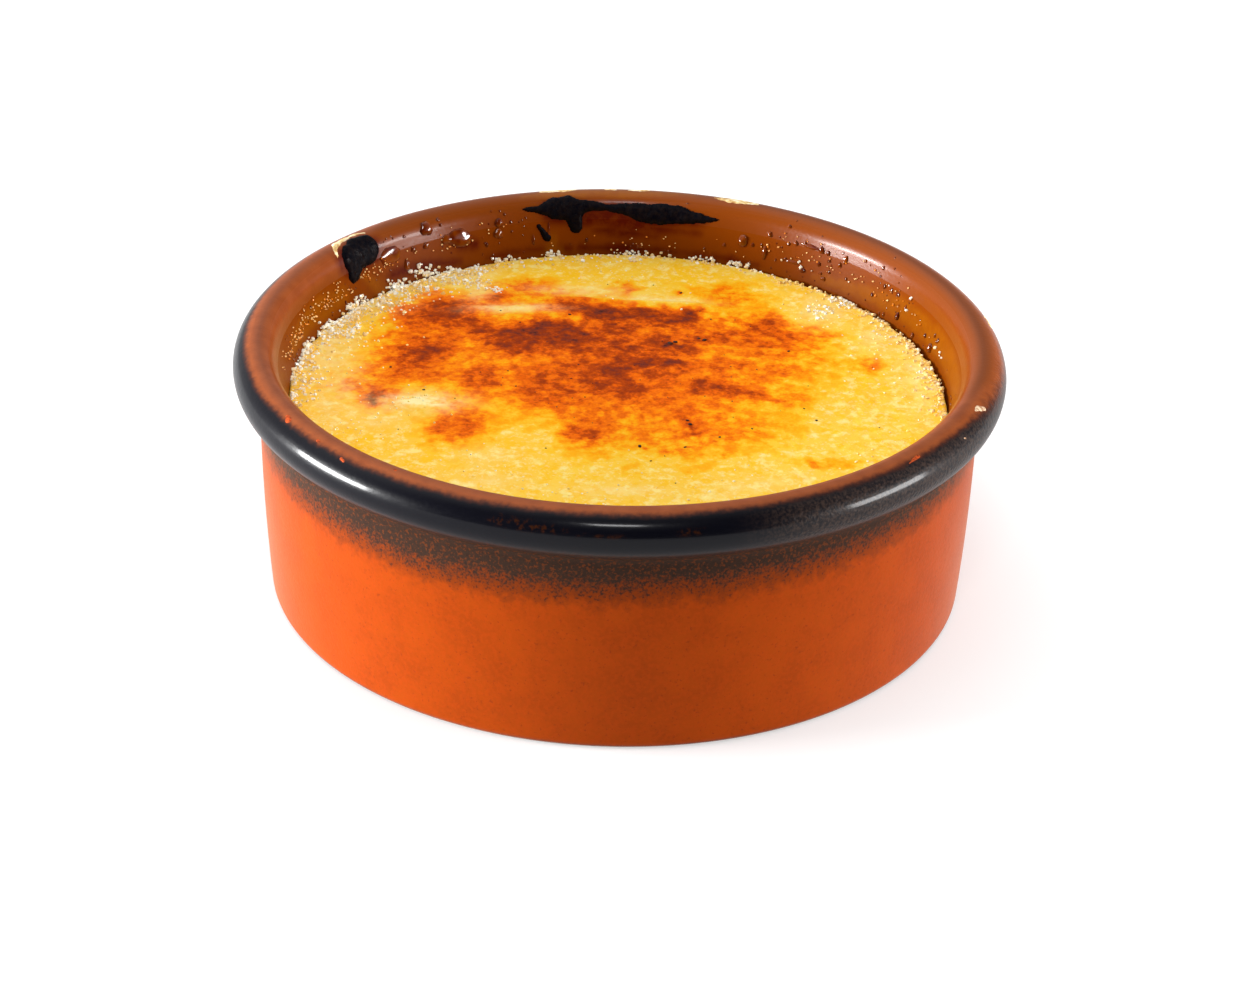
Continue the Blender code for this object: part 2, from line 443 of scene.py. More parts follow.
# Height in millimetres at which half of the clay is covered by black glaze, by the angle round the dish
FADE_HEIGHTS = (
    (-180, 29.2), (-150, 28.4), (-135, 28), (-120, 27.2), (-105, 27.9), (-90, 28.1), (-75, 28.7),
    (-60, 28.9), (-45, 29.4), (-30, 30), (0, 31.2), (60, 30.2), (120, 29.8), (180, 29.2),
)
FADE_DEPTH = 5.0

# Run at which the brown glaze of the rim gives way to black, by the angle round the dish
BLACK_EDGES = (
    (-180, 2.15), (-150, 2.1), (-100, 1.85), (-60, 1.7), (-50, 1.75), (-40, 1.9), (-30, 2.2), (-25, 2.6),
    (-20, 3.2), (-14, 4), (-6, 4.6), (10, 4.9), (25, 4.6), (40, 3.6), (60, 2.5), (90, 2.2), (180, 2.15),
)


def dish_values(angle, run):
    """What the dish's materials need at each point: distances to the glaze's edges, stains and painted
    shade.
    """
    cells = 90
    wave = Field(SEED + 1, cells)(angle % 360 / 360 * cells, run * 0 + 0.5, 1.0, 3)
    height = np.interp(run, OUTLINE_RUN, OUTLINE[:, 1])
    outside = run > 0
    signed = (angle + 180) % 360 - 180
    blurred = 1 + 1.6 * turn_between(signed, -16, 36, 12)
    middle = np.interp(signed, *zip(*FADE_HEIGHTS)) + 0.5 * wave
    cover = np.where(outside, np.clip((height - middle) / FADE_DEPTH + 0.5, -0.6, 1.6), 1.6)
    turned = (angle + 90) % 360 - 90
    soft = 0.8 * wave
    # Where the darker glaze begins: inside the lip at the front and left, and up over the rim on the right
    # and back as painted shade.
    pool_and_shade_start = -3.0 + 6.0 * turn_between(signed, -10, 130, 20)
    return {
        "black_edge": (run - np.interp(signed, *zip(*BLACK_EDGES)) - 0.25 * wave) / blurred,
        "cover": cover,
        "matte": np.where(outside, smooth(height, 36.2, 33.6), 0.0),
        # foot: where the painted contact shadow darkens the bottom edge of the outside wall
        "foot": np.where(outside, smooth(height + 0.2 * wave, 1.1, 0.1), 0.0),
        "pitted": turn_between(signed, -60, 12, 15) * smooth(run, 1.5, 3.0),
        "pooled_and_shaded": smooth(run, pool_and_shade_start, pool_and_shade_start - 2.5),
        "stain_and_shade": smooth(stroke_depth(STAINS_AND_SHADE, turned, run) + soft, -0.6, 1.4),
        "gold": smooth(stroke_depth(GOLDEN_RUNS, turned, run) + soft, -0.5, 0.9),
        "rusty": smooth(stroke_depth(RUSTY_PATCHES, signed, run), -0.3, 0.5),
    }


def make_dish():
    """The dish, closed at the middle of its floor and of its underside, with five finishes."""
    steps = DISH_STEPS
    angle = np.arange(steps) * 360 / steps
    inner = OUTLINE[1:-1]
    angles = np.append(np.tile(angle, len(inner)), [0, 0])
    runs = np.append(np.repeat(OUTLINE_RUN[1:-1], steps), OUTLINE_RUN[[0, -1]])
    points = on_ring(inner, angle)
    faces = ring_faces(len(inner), steps)
    faces = [face[::-1] for face in faces]
    middle = len(points)
    points = np.concatenate([points, [[0, 0, OUTLINE[0][1] * MM], [0, 0, 0]]])
    last = (len(inner) - 1) * steps
    for j in range(steps):
        k = (j + 1) % steps
        faces.append((middle, j, k))
        faces.append((middle + 1, last + k, last + j))
    bright = glaze_finish("glazed_earthenware", 0.06, 0.22)
    dish = mesh_object("glazed_dish", points, faces, bright, dish_values(angles, runs))
    others = (
        clay_finish("bare_earthenware", 0.3),
        glaze_finish("inner_glaze", 0.02, 0.0),
        clay_finish("sooty_earthenware", 0.0),
        glaze_finish("lip_glaze", 0.16, 0.08),
    )
    for finish in others:
        dish.data.materials.append(finish)
    bright_glaze, bare_clay_wall, dull_glaze, sooty_wall, lip_glaze = range(5)
    for face in dish.data.polygons:
        radius, height = Vector(face.center[:2]).length / MM, face.center.z / MM
        if face.normal.xy.dot(face.center[:2]) < 0:
            upper = lip_glaze if height < LIP_GLAZE_TOP else bright_glaze
            face.material_index = dull_glaze if height < DULL_WALL_TOP else upper
        elif height < GLAZE_END and (radius > INNER_FOOT_RADIUS or face.normal.z < -0.5):
            face.material_index = bare_clay_wall if height < BARE_WALL_TOP else sooty_wall
    return dish


def on_ring(outline, angle):
    """The points in metres of rings round the axis, one for each point of an outline."""
    radius, height = outline[:, 0][:, None], outline[:, 1][:, None]
    turn = np.radians(angle)[None, :]
    rings = np.stack([radius * np.cos(turn), radius * np.sin(turn), height + 0 * turn], -1)
    return rings.reshape(-1, 3) * MM


# ---- the custard
# Swells of its top, those of the CAD solid: x, y, radius, height
SWELLS = (
    (-12, 16, 16, 0.45), (-24, 2, 10, 0.3), (14, 4, 18, 0.4), (6, -18, 14, -0.35), (-18, -20, 11, 0.25),
    (28, 18, 12, -0.25),
)

# Low welts in the skin: x, y, half length, half width, slope along x, height
RIDGES = (
    (3, 32.3, 16, 1.3, -0.06, 0.35), (-20, 28.5, 9, 1.6, 0.05, 0.25), (-33, -7, 7, 2.5, -0.4, 0.2),
)

# Soft ellipses on the custard: x, y, half length, half width, strength and, for some, how far it is turned
# Where the sugar turned golden to orange, over broad areas
TOASTED = (
    (-3, 10, 27, 16, 0.5), (10, 0, 18, 13, 0.31), (-12, -1, 16, 8, 0.3), (-31, 16, 8, 16, 0.4),
    (22, 22, 9, 9, 0.42), (9, -15, 14, 9, 0.3), (-5, -15, 5, 8, 0.34), (-25, -13, 6, 7, 0.34),
    (-29, 28, 7, 7, 0.36), (30, 12, 8, 8, 0.2), (17, 36, 6, 5, 0.27), (-16, 38, 6, 4, 0.25),
    (-41, 1, 6, 6, 0.3), (-38, 13, 6, 8, 0.14), (32, 21, 4, 4, 0.26), (40, 12, 3, 4, 0.2),
    (1, 38, 2.4, 3, 0.32), (-20, 33, 4, 3.5, 0.3), (-38, -5, 4, 6, 0.34), (32, -23, 4.5, 2.2, 0.26),
    (2, -26, 2.5, 2, 0.15), (12, -26, 3, 2, 0.15), (28, -3, 3, 4, 0.2), (-16, 36, 7, 5, 0.2),
    (0, 36, 4, 4, 0.12), (20, 36, 5, 6, 0.16), (5, 21, 10, 6, 0.22), (-33, 24, 7, 6, 0.2),
    (-22, 27, 5, 5, 0.16), (41, 10, 3, 3, 0.16), (-24, -27, 2, 2, 0.14), (-16, -12, 5, 4, 0.1),
    (-24, -19, 6, 4, 0.16), (17, -12, 7, 5, 0.13), (26, -13, 6, 5, 0.1), (-8, 37, 6, 4, 0.14),
    (8, 37, 5, 4, 0.1), (-30, 27, 8, 5, 0.14),
)

# Where it went on to red-brown and black, in patches with ragged edges
SCORCHED = (
    (-17, 19, 7, 4.2, 0.68), (-12, 22, 4.5, 3, 0.66), (-8, 18, 5, 4, 0.66), (-15, 15, 6, 3, 0.5),
    (-23, 21, 2.5, 3, 0.45), (-17, 12.5, 4, 3, 0.4), (-8, 30, 6, 3.6, 0.66), (-3, 27.5, 4.5, 3.5, 0.74),
    (-1, 22, 4.5, 3, 0.52), (4.5, 27.8, 6, 3.4, 0.72), (11.2, 28, 3, 3, 0.76), (8, 25, 5, 2.4, 0.48),
    (-32, 10, 4.2, 5, 0.5), (-30, 13, 3, 3, 0.28), (-33, 4, 3.5, 2.5, 0.25), (-28, 27, 4, 5, 0.46),
    (-31, 32, 3, 4, 0.18), (-20, 32.8, 1.8, 2.2, 0.5), (0, 7.5, 4.5, 4, 0.4), (-2, 3, 3, 3.5, 0.32),
    (-1, 14, 6, 3, 0.42), (0, -1.5, 3, 2, 0.24), (7, 9.5, 5, 2.2, 0.42), (8, 16, 4, 4, 0.38),
    (18, 0, 5, 1.9, 0.52, -15), (13, 1.5, 3, 2, 0.35), (23, -2.5, 2.5, 1.2, 0.35), (24, 26, 3, 3.5, 0.38),
    (23, 24, 2, 2, 0.2), (27, 21, 3, 3, 0.2), (18, 10, 3, 2, 0.2), (24, 7, 2.5, 3, 0.28),
    (22, 17, 2, 1.5, 0.2), (16, 20, 4, 4, 0.22), (-38, -5.5, 1.5, 2.8, 0.62), (-25, -14, 4, 4, 0.38),
    (-5, -14, 3, 4, 0.22), (-22, 2.5, 3, 4, 0.36), (-13, 2, 3, 3, 0.2), (-11, -5.5, 4.5, 2, 0.3, -45),
    (8, 16.6, 1.1, 1.3, 0.85), (13.5, 18.4, 1.2, 1, 0.55), (11, -11.5, 1.1, 3, 0.48, 20),
    (1, 38, 1.2, 1.5, 0.2), (9.8, 36.5, 0.6, 0.6, 0.5), (3.3, -18.4, 0.7, 0.7, 0.5),
    (10.2, -18.4, 0.5, 0.6, 0.45), (9, -20.8, 2.5, 1.4, 0.2), (17, -20.5, 2, 1.2, 0.18),
    (29.5, -23.8, 1, 0.8, 0.3),
)

# Where the custard stays pale and creamy, and where it is deeper yellow
CREAMY = (
    (-31, -6, 5.5, 2.6, 1.2), (-37, -12, 5, 3, 0.35), (-18, 28.5, 6, 1.4, 0.75, 4), (-24, 36, 2.5, 5, 0.45),
    (-7, 36.5, 7, 1.8, 0.45), (6, 33.6, 6, 1.2, 0.75, -4), (33, 31, 4, 5, 0.55), (41, 22, 3, 6, 0.4),
    (-20, -32, 6, 3, 0.35), (0, -33, 7, 2, 0.4), (-44, -6, 4, 10, 0.3), (-41, 32, 5, 8, 0.45, -45),
    (-46, 12, 4, 12, 0.45), (-28, 42, 8, 4, 0.4, 25), (-20, -24, 5, 3, 0.25), (20, -31, 8, 2.5, 0.35, 20),
    (47, 10, 3, 14, 0.4),
)
YOLKY = (
    (11, 43, 4, 5, 0.6), (30, 33, 3, 3, 0.5), (-10, 42, 5, 4, 0.45), (33, 15, 6, 5, 0.5),
    (36, 4, 6, 4, 0.4), (23, -15, 4, 3, 0.4), (2, -26, 3, 2, 0.55), (-38, -18, 2, 1.5, 0.45),
    (-27, -23, 2, 2, 0.4), (-46, 18, 3, 9, 0.3), (-12, -12, 4, 2, 0.4), (26, -8, 4, 4, 0.35),
    (0, 44, 14, 3, 0.35), (-20, 40, 4, 4, 0.4), (17, 42, 6, 3, 0.45), (38, 26, 3, 3, 0.45),
)


def spread(places, x, y, sharpness=2.0):
    """The joint strength of soft elliptical places at x and y, where overlapping ones add up towards 1."""
    left = np.ones_like(x)
    for cx, cy, length, width, strength, *turned in places:
        turn = math.radians(turned[0] if turned else 0)
        c, s = math.cos(turn), math.sin(turn)
        along = ((x - cx) * c + (y - cy) * s) / length
        across = ((y - cy) * c - (x - cx) * s) / width
        left = left * (1 - strength * np.exp(-np.hypot(along, across) ** sharpness))
    return 1 - left


def char_at(x, y):
    """How far the custard's top is browned, from 0 to 1, with ragged patches."""
    wander = Field(SEED + 2)
    wx = x + 1.8 * wander(x, y, 6.0, 2) + 0.9 * wander(x + 9, y + 40, 1.7, 2)
    wy = y + 1.5 * wander(x + 70, y - 30, 6.0, 2) + 0.8 * wander(x - 50, y + 20, 1.7, 2)
    toasted = spread(TOASTED, wx, wy, 2.4)
    scorched = spread(SCORCHED, wx, wy, 2.4)
    return 1 - (1 - toasted) * (1 - scorched)


def custard_top(x, y):
    """The height of the custard's top in millimetres."""
    rough = Field(SEED + 3)
    radius = np.hypot(x, y)
    swell = sum(h * np.exp(-((x - cx) ** 2 + (y - cy) ** 2) / r**2) for cx, cy, r, h in SWELLS)
    inside = np.clip((FILL_WALL_RADIUS - radius) / 10, 0, 1)
    small = 0.1 * rough(x, y, 4.0, 3) + 0.05 * rough(x + 50, y, 1.2, 2)
    ridge = sum(
        h * smooth(np.abs(y - cy - tilt * (x - cx)), w, 0) * smooth(np.abs(x - cx), length, length / 2)
        for cx, cy, length, w, tilt, h in RIDGES
    )
    return FILL_HEIGHT + (swell + ridge) * inside + small * smooth(radius, 51.5, 47.0)


def custard_edge(turn):
    """How far out the custard reaches: against the dish, but drawn back and crumbly on the right."""
    cells = 60
    crumble = Field(SEED + 5, cells)
    wave = crumble(turn % math.tau / math.tau * cells, np.zeros_like(turn) + 3.5, 1.0, 4, 0.7)
    shrunk = turn_between(np.degrees(turn), 2, 52, 10)
    edge = FILL_WALL_RADIUS - 0.05 - 0.5 * shrunk + 0.3 * wave * (0.15 + 0.85 * shrunk)
    return np.minimum(edge, FILL_WALL_RADIUS - 0.03)


def make_custard():
    """The custard: rings of points over its top, then its rounded edge, hidden side and underside."""
    rings, edge_round, underside = 150, 0.35, 5.4
    counts = [6 * k for k in range(1, rings + 1)]
    points = [(0.0, 0.0)]
    for k, count in enumerate(counts, 1):
        turn = np.arange(count) / count * math.tau
        radius = (custard_edge(turn) - edge_round) * k / rings
        points += list(zip(radius * np.cos(turn), radius * np.sin(turn)))
    x, y = np.array(points).T
    top = np.stack([x, y, custard_top(x, y)], -1)
    faces = [(0, 1 + j, 1 + (j + 1) % 6) for j in range(6)]
    start = 1
    for k in range(1, rings):
        inner, outer = 6 * k, 6 * (k + 1)
        base = start + inner
        for side in range(6):
            for j in range(k + 1):
                o = base + (side * (k + 1) + j) % outer
                o2 = base + (side * (k + 1) + j + 1) % outer
                i = start + (side * k + j) % inner
                faces.append((i, o, o2))
                if j < k:
                    faces.append((i, o2, start + (side * k + j + 1) % inner))
        start = base
    rim = counts[-1]
    first = len(top) - rim
    turn = np.arange(rim) / rim * math.tau
    edge = custard_edge(turn)
    sides = []
    for radius, height in ((edge - 0.1, 31.6), (edge, 31.2), (edge, 30.0), (50.8, 14.0), (44.0, underside)):
        sides.append(np.stack([radius * np.cos(turn), radius * np.sin(turn), np.full(rim, height)], -1))
    points = np.concatenate([top, *sides, [[0, 0, underside]]])
    for i in range(len(sides)):
        a = first + i * rim
        for j in range(rim):
            k = (j + 1) % rim
            faces.append((a + j, a + rim + j, a + rim + k, a + k))
    last = first + len(sides) * rim
    middle = len(points) - 1
    for j in range(rim):
        faces.append((last + j, middle, last + (j + 1) % rim))
    px, py = points[:, 0], points[:, 1]
    tint = Field(SEED + 4)
    warm = np.clip(0.25 + 0.5 * tint(px, py, 14, 3) + 0.45 * smooth(px, -15, -45), 0, 1)
    values = {
        "char": char_at(px, py),
        "warm": warm,
        "creamy": spread(CREAMY, px + tint(px, py, 3, 2), py + tint(px + 30, py, 3, 2)),
        "yolky": spread(YOLKY, px + tint(px, py - 40, 3, 2), py + tint(px - 30, py, 3, 2)),
    }
    return mesh_object("browned_custard", points * MM, faces, custard_finish(), values)


# ---- burnt crusts, smears and chips on the dish
# Each stroke is a row of stations: angle, run and half width
BURNT_CARAMEL = (
    ((108.4, -3, 0.12), (105.3, -3.2, 0.8), (102.6, -3.2, 1.9), (100.3, -3.3, 2.2), (98.6, -3.4, 1.6)),
    ((99.4, -3.6, 1.9), (98.7, -6.6, 1.2)),
    ((98.5, -3.2, 1.4), (95.5, -3.1, 0.8), (93, -3.3, 0.65), (89.8, -3.6, 1), (86.5, -4.2, 1.7),
     (83.4, -4.1, 1.8), (80, -4.1, 1.6), (76.5, -4.3, 1), (72.3, -4, 0.1)),
    ((105.6, -6.2, 0.45), (104.2, -8, 0.75)), ((145.1, -3.5, 2.6), (143, -3, 2.9), (141.3, -3.1, 2.7)),
    ((144.8, -4.2, 2.4), (145.9, -6, 1.5)),
)
CUSTARD_SMEARS = (
    ((148.6, -2.2, 0.2), (148, -0.9, 0.4), (146.5, 0.2, 0.6), (143.5, 0.5, 0.5), (141, 0.5, 0.3),
     (139.6, -0.2, 0.15)), ((104, 0.8, 0.5), (101, 0.9, 0.9), (98.5, 0.8, 0.4)),
    ((89.4, 0.6, 0.3), (88.3, 0.7, 0.5), (86.2, 0.9, 0.5)), ((93, 0.9, 0.3), (91.8, 0.9, 0.4)),
    ((74, 0.4, 0.4), (71.5, 0.6, 1.2), (69, 0.7, 1.1), (66.8, 0.6, 0.5)),
    ((9, 3.2, 0.5), (12, 3.9, 0.8), (14, 5, 0.4)),
)
GLAZE_CHIPS = (
    ((-148.4, 1.3, 0.35), (-147.4, 1.7, 0.5)), ((-139.6, 1.5, 0.2), (-139.2, 1.6, 0.2)),
    ((-133.4, 2.2, 0.2), (-132.7, 2.4, 0.15)), ((-43, 2, 0.1), (-41.8, 1.8, 0.2), (-40.6, 1.7, 0.28)),
    ((-124.6, 0.2, 0.15), (-124.3, 0.3, 0.15)),
)
PALE_CHIPS = (
    ((-22.6, 1.8, 0.2), (-21.4, 2.1, 0.55), (-20.6, 2.7, 0.35)), ((-29.8, 3.4, 0.14), (-29.6, 3.5, 0.14)),
)


def crust(name, strokes, thickness, material, edge=0.6, ragged=0.3, lumps=0.0, cell=0.16):
    """A thin closed crust over strokes on the dish; it ends where it sinks below the dish's surface."""
    sink, margin = 0.06, 0.8
    stations = np.array([station for stations in strokes for station in stations])
    reach = stations[:, 2:] + margin
    lowest, highest = (stations[:, :2] - reach).min(0), (stations[:, :2] + reach).max(0)
    angles = np.arange(lowest[0], highest[0], cell / MM_PER_DEGREE)
    runs = np.arange(lowest[1], highest[1], cell)
    angle, run = np.meshgrid(angles, runs, indexing="ij")
    wander = Field(SEED + 6)
    across = angle * MM_PER_DEGREE
    depth = stroke_depth(strokes, angle, run) + ragged * wander(across, run, 1.8, 3)
    height = thickness * np.where(depth > edge, 1.0, 1 - (1 - depth / edge) ** 2)
    height = height + lumps * wander(across + 60, run, 1.3, 3) * smooth(depth, 0, edge)
    under = height > -sink
    kept = under[:-1, :-1] & under[1:, :-1] & under[:-1, 1:] & under[1:, 1:]
    for _ in range(3):
        falling = kept[:-1, :-1] & kept[1:, 1:] & ~kept[1:, :-1] & ~kept[:-1, 1:]
        rising = kept[1:, :-1] & kept[:-1, 1:] & ~kept[:-1, :-1] & ~kept[1:, 1:]
        kept[1:, :-1] |= falling
        kept[1:, 1:] |= rising
    rows, size = len(runs), len(angles) * len(runs)
    top = on_dish(angle.ravel(), run.ravel(), np.maximum(height, -sink).ravel())
    bottom = on_dish(angle.ravel(), run.ravel(), -2 * sink)
    faces, borders = [], {}
    for i, j in np.argwhere(kept).tolist():
        a, b, c, d = i * rows + j, i * rows + j + 1, (i + 1) * rows + j + 1, (i + 1) * rows + j
        faces.append((a, b, c, d))
        faces.append((d + size, c + size, b + size, a + size))
        for start, end in ((a, b), (b, c), (c, d), (d, a)):
            if (end, start) in borders:
                del borders[end, start]
            else:
                borders[start, end] = True
    faces += [(end, start, start + size, end + size) for start, end in borders]
    used = sorted({point for face in faces for point in face})
    renumbered = {point: i for i, point in enumerate(used)}
    faces = [tuple(renumbered[point] for point in face) for face in faces]
    return mesh_object(name, np.concatenate([top, bottom])[used], faces, material)


def burnt_finish():
    """Sugar burnt black: smooth in places, blistered in others."""
    f = Finish("burnt_caramel", Specular_IOR_Level=0.03)
    blister = f.noise(0.8, 3.0, 0.6)
    f.set("Base Color", f.mix(f.step(blister, 0.35, 0.75), (0.002, 0.002, 0.004), (0.008, 0.005, 0.005)))
    f.set("Roughness", f.step(f.noise(1.2), 0.35, 0.65, 0.22, 0.55))
    f.bump(f.sum(blister, f.noise(0.3, 1.0)), 0.15, 0.6)
    return f.material


def smear_finish():
    """Thin dried custard: cream where it is thick, browner and more see-through where it thins out."""
    f = Finish("dried_custard", Specular_IOR_Level=0.2)
    f.set("Base Color", f.ramp(f.noise(1.3, 3.0, 0.6), [
        (0.34, (0.42, 0.2, 0.05)),
        (0.48, (0.74, 0.54, 0.24)),
        (0.64, (0.88, 0.8, 0.58)),
    ]))
    f.set("Roughness", f.step(f.noise(0.6), 0.3, 0.7, 0.35, 0.6))
    f.bump(f.noise(0.6), 0.06, 0.5)
    return f.material


def chip_finish(name, light, dark):
    """Clay that shows where the black glaze has flaked away."""
    f = Finish(name, Specular_IOR_Level=0.1)
    f.set("Base Color", f.mix(f.step(f.noise(0.5), 0.4, 0.65), light, dark))
    f.set("Roughness", f.step(f.noise(0.4), 0.3, 0.7, 0.55, 0.8))
    f.bump(f.noise(0.4), 0.06, 0.6)
    return f.material


# ---- drops of syrup
# Drops on the inner wall that were placed one by one: angle, run, half width, half length, height
DROPS = (
    (54, -5, 2.1, 0.42, 0.14), (127.6, -3.3, 1.25, 1.3, 0.47), (136.4, -5.6, 2.6, 1.4, 0.3),
    (121.2, -6, 2.4, 1.6, 0.42), (123.6, -5.8, 1.1, 0.9, 0.34), (113.2, -4.7, 0.8, 0.75, 0.42),
    (113.4, -6.5, 0.9, 0.9, 0.42), (128.2, -5.9, 0.7, 0.55, 0.26), (131, -5.9, 0.6, 0.5, 0.26),
    (133, -8.1, 0.6, 1, 0.3), (124.8, -2.2, 0.35, 0.35, 0.17), (124.6, -3.2, 0.3, 0.3, 0.17),
    (67.5, -6.8, 0.95, 1.05, 0.51), (63, -8, 0.45, 1.25, 0.42), (62.5, -4.8, 0.5, 0.5, 0.3),
    (57, -5.2, 0.45, 0.45, 0.3), (58.5, -5.6, 0.35, 0.35, 0.21), (51.5, -5, 0.6, 0.65, 0.38),
    (50, -5.1, 0.4, 0.45, 0.26), (46, -5, 0.5, 0.6, 0.34), (59, -2.7, 0.35, 0.35, 0.21),
    (37, -3.6, 0.35, 0.35, 0.21), (41.5, -3.9, 0.3, 0.3, 0.17), (47, -6.3, 0.45, 0.45, 0.3),
    (49.5, -6.3, 0.35, 0.35, 0.26), (51.5, -7.4, 0.4, 0.4, 0.26), (35.5, -6.3, 0.4, 0.4, 0.26),
    (33.5, -6.2, 0.35, 0.35, 0.21), (31.5, -6.2, 0.5, 0.3, 0.21), (28.5, -7.5, 0.3, 0.6, 0.21),
    (45, -8.1, 0.3, 0.3, 0.21), (38, -8.6, 0.35, 0.35, 0.21), (49, -8.1, 0.3, 0.3, 0.17),
    (57, -8.4, 1.4, 0.28, 0.19), (54.8, -9.2, 0.8, 0.45, 0.34), (50, -9.5, 0.6, 0.4, 0.3),
    (30, -9.5, 0.5, 0.7, 0.42), (17, -9.9, 0.75, 0.75, 0.55), (15, -7.7, 0.35, 0.35, 0.21),
    (20, -9, 0.4, 0.4, 0.26), (24, -10.6, 0.55, 0.45, 0.38), (71, -8.1, 0.3, 0.35, 0.21),
    (65.5, -7.2, 0.3, 0.4, 0.21), (103.8, -7.2, 0.25, 1.6, 0.17), (106.8, -8.3, 0.3, 0.9, 0.21),
)

# Stretches of the wall strewn with tiny drops: first and last angle, highest and lowest run, how many
DROP_STRETCHES = (
    (26, 64, -4, -11, 44), (64, 100, -8.5, -11.5, 16), (-8, 26, -7, -11.5, 10), (108, 138, -2.5, -10.5, 34),
    (138, 176, -6, -11.5, 30), (30, 80, -1, -4, 8),
)


def template(make, **settings):
    """The points and faces of a small closed shape, to be copied many times."""
    shape = bmesh.new()
    make(shape, **settings)
    points = np.array([vert.co[:] for vert in shape.verts])
    faces = [[vert.index for vert in face.verts] for face in shape.faces]
    shape.free()
    return points, faces


def copies(faces, size, count):
    """The faces of many copies of a shape with a number of points each."""
    return [tuple(point + size * i for point in face) for i in range(count) for face in faces]


def make_drops():
    ball, faces = template(bmesh.ops.create_icosphere, subdivisions=3, radius=1.0)
    rng = random.Random(SEED)
    places = list(DROPS)
    for first, last, high, low, count in DROP_STRETCHES:
        for _ in range(count):
            size = 0.14 + 0.22 * rng.random() ** 3
            long = size * rng.uniform(0.9, 1.4)
            places.append((rng.uniform(first, last), rng.uniform(low, high), size, long, size * 0.7))
    points = []
    wobble = Field(SEED + 7)
    for i, (angle, run, width, length, height) in enumerate(places):
        uneven = 1 + 0.35 * wobble(ball[:, 0] + 7.3 * i, ball[:, 1] + 3.1 * i, 0.9, 2)
        fuller = (1 - 0.22 * ball[:, 1]) * uneven
        x = ball[:, 0] * fuller * width / MM_PER_DEGREE
        lift = np.where(ball[:, 2] > 0, ball[:, 2] * height * uneven, ball[:, 2] * 0.12)
        points.append(on_dish(angle + x, run + ball[:, 1] * length * uneven, lift))
    faces = copies(faces, len(ball), len(places))
    return mesh_object("syrup_drops", np.concatenate(points), faces, drop_finish())


def drop_finish():
    """Caramel syrup in small glossy drops."""
    f = Finish("syrup", Specular_IOR_Level=0.5, IOR=1.5)
    cloudy = f.step(f.noise(2.5), 0.35, 0.65)
    f.set("Base Color", f.mix(cloudy, (0.085, 0.009, 0.001), (0.18, 0.034, 0.001)))
    f.set("Roughness", f.step(f.noise(0.8), 0.3, 0.7, 0.05, 0.12))
    return f.material


# ---- loose sugar
# Bands of sugar along the custard's edge: first and last angle, inner and outer radius,
# grains for each mm2, and how golden the palest grain is
SUGAR_BANDS = (
    (94, 126, 48.4, 51.2, 1.1, 0), (118, 160, 45.5, 51.2, 2.3, 0), (150, 188, 47.8, 51.2, 2.4, 0),
    (60, 96, 50, 51.2, 1.8, 0.2), (30, 60, 48.6, 51, 1.6, 0.55), (-8, 32, 47.6, 51, 1.8, 0.55),
    (188, 204, 49.5, 51.2, 1.2, 0.2),
)
# Heaps on the custard: x, y, radius, grains
SUGAR_HEAPS = (
    (-38, 37, 3, 60), (-35, 40, 2.6, 50), (-32, 43.5, 2.6, 56), (-44, 29, 3, 60), (-47, 23, 3, 50),
    (37, 35, 2.4, 50), (33, 31, 2.4, 34), (2, 50, 1.6, 12), (-24, 38, 2, 30), (-21, 36, 1.6, 22),
)
# Sugar stuck to the wall: angle, run, spread along and across in mm, grains
WALL_SUGAR = (
    (148, -11.2, 4, 0.7, 60), (137, -11.2, 3, 0.6, 50), (129.5, -10.9, 2.6, 0.9, 50),
    (124, -11.3, 2, 0.4, 20), (158, -11.5, 4, 0.5, 46), (167, -11.5, 5, 0.5, 50), (176, -11.6, 4, 0.4, 36),
    (113, -11.4, 5, 0.4, 30), (104, -11.4, 3, 0.4, 20), (88, -11.3, 5, 0.4, 24), (67, -11.3, 3, 0.4, 20),
    (75, -11.4, 4, 0.4, 18), (54, -9.5, 12, 1, 6), (36, -8.5, 12, 1.6, 4), (13, -9.6, 3, 0.8, 4),
)
# Fine golden glitter on the wall, in the same terms
WALL_GLITTER = (
    (156, -8.6, 12, 1.6, 90), (170, -9, 10, 1.4, 70), (140, -7.8, 6, 1.6, 40), (122, -7.6, 12, 2, 34),
    (54, -7.6, 16, 2.4, 36), (34, -8.6, 14, 1.8, 30), (92, -9.8, 20, 1, 24),
)
# Fine sugar over the custard: x, y, radius, grains
FINE_SUGAR = (
    (42, 20, 8, 40), (45, 2, 8, 27), (33, 30, 6, 32), (44, -14, 7, 11), (36, -24, 6, 9), (-40, 30, 8, 90),
    (-43, 16, 8, 72), (-47, 2, 7, 50), (-33, -6, 6, 32), (-40, -16, 8, 36), (-25, 40, 6, 50),
    (0, 46, 12, 50), (-19, -32, 10, 32), (-4, -36, 12, 27), (18, -34, 12, 22),
)


# Least and most length, breadth and height of a grain for its size, and its most tilt in radians
GRAIN_PROPORTIONS = ((0.75, 1.15), (0.75, 1.15), (0.6, 0.9))
GRAIN_TILT = 0.6


def bevelled_cube(shape, bevel):
    bmesh.ops.create_cube(shape, size=1.0)
    bmesh.ops.bevel(shape, geom=list(shape.edges), offset=bevel, segments=1, affect="EDGES")
    shape.verts.index_update()


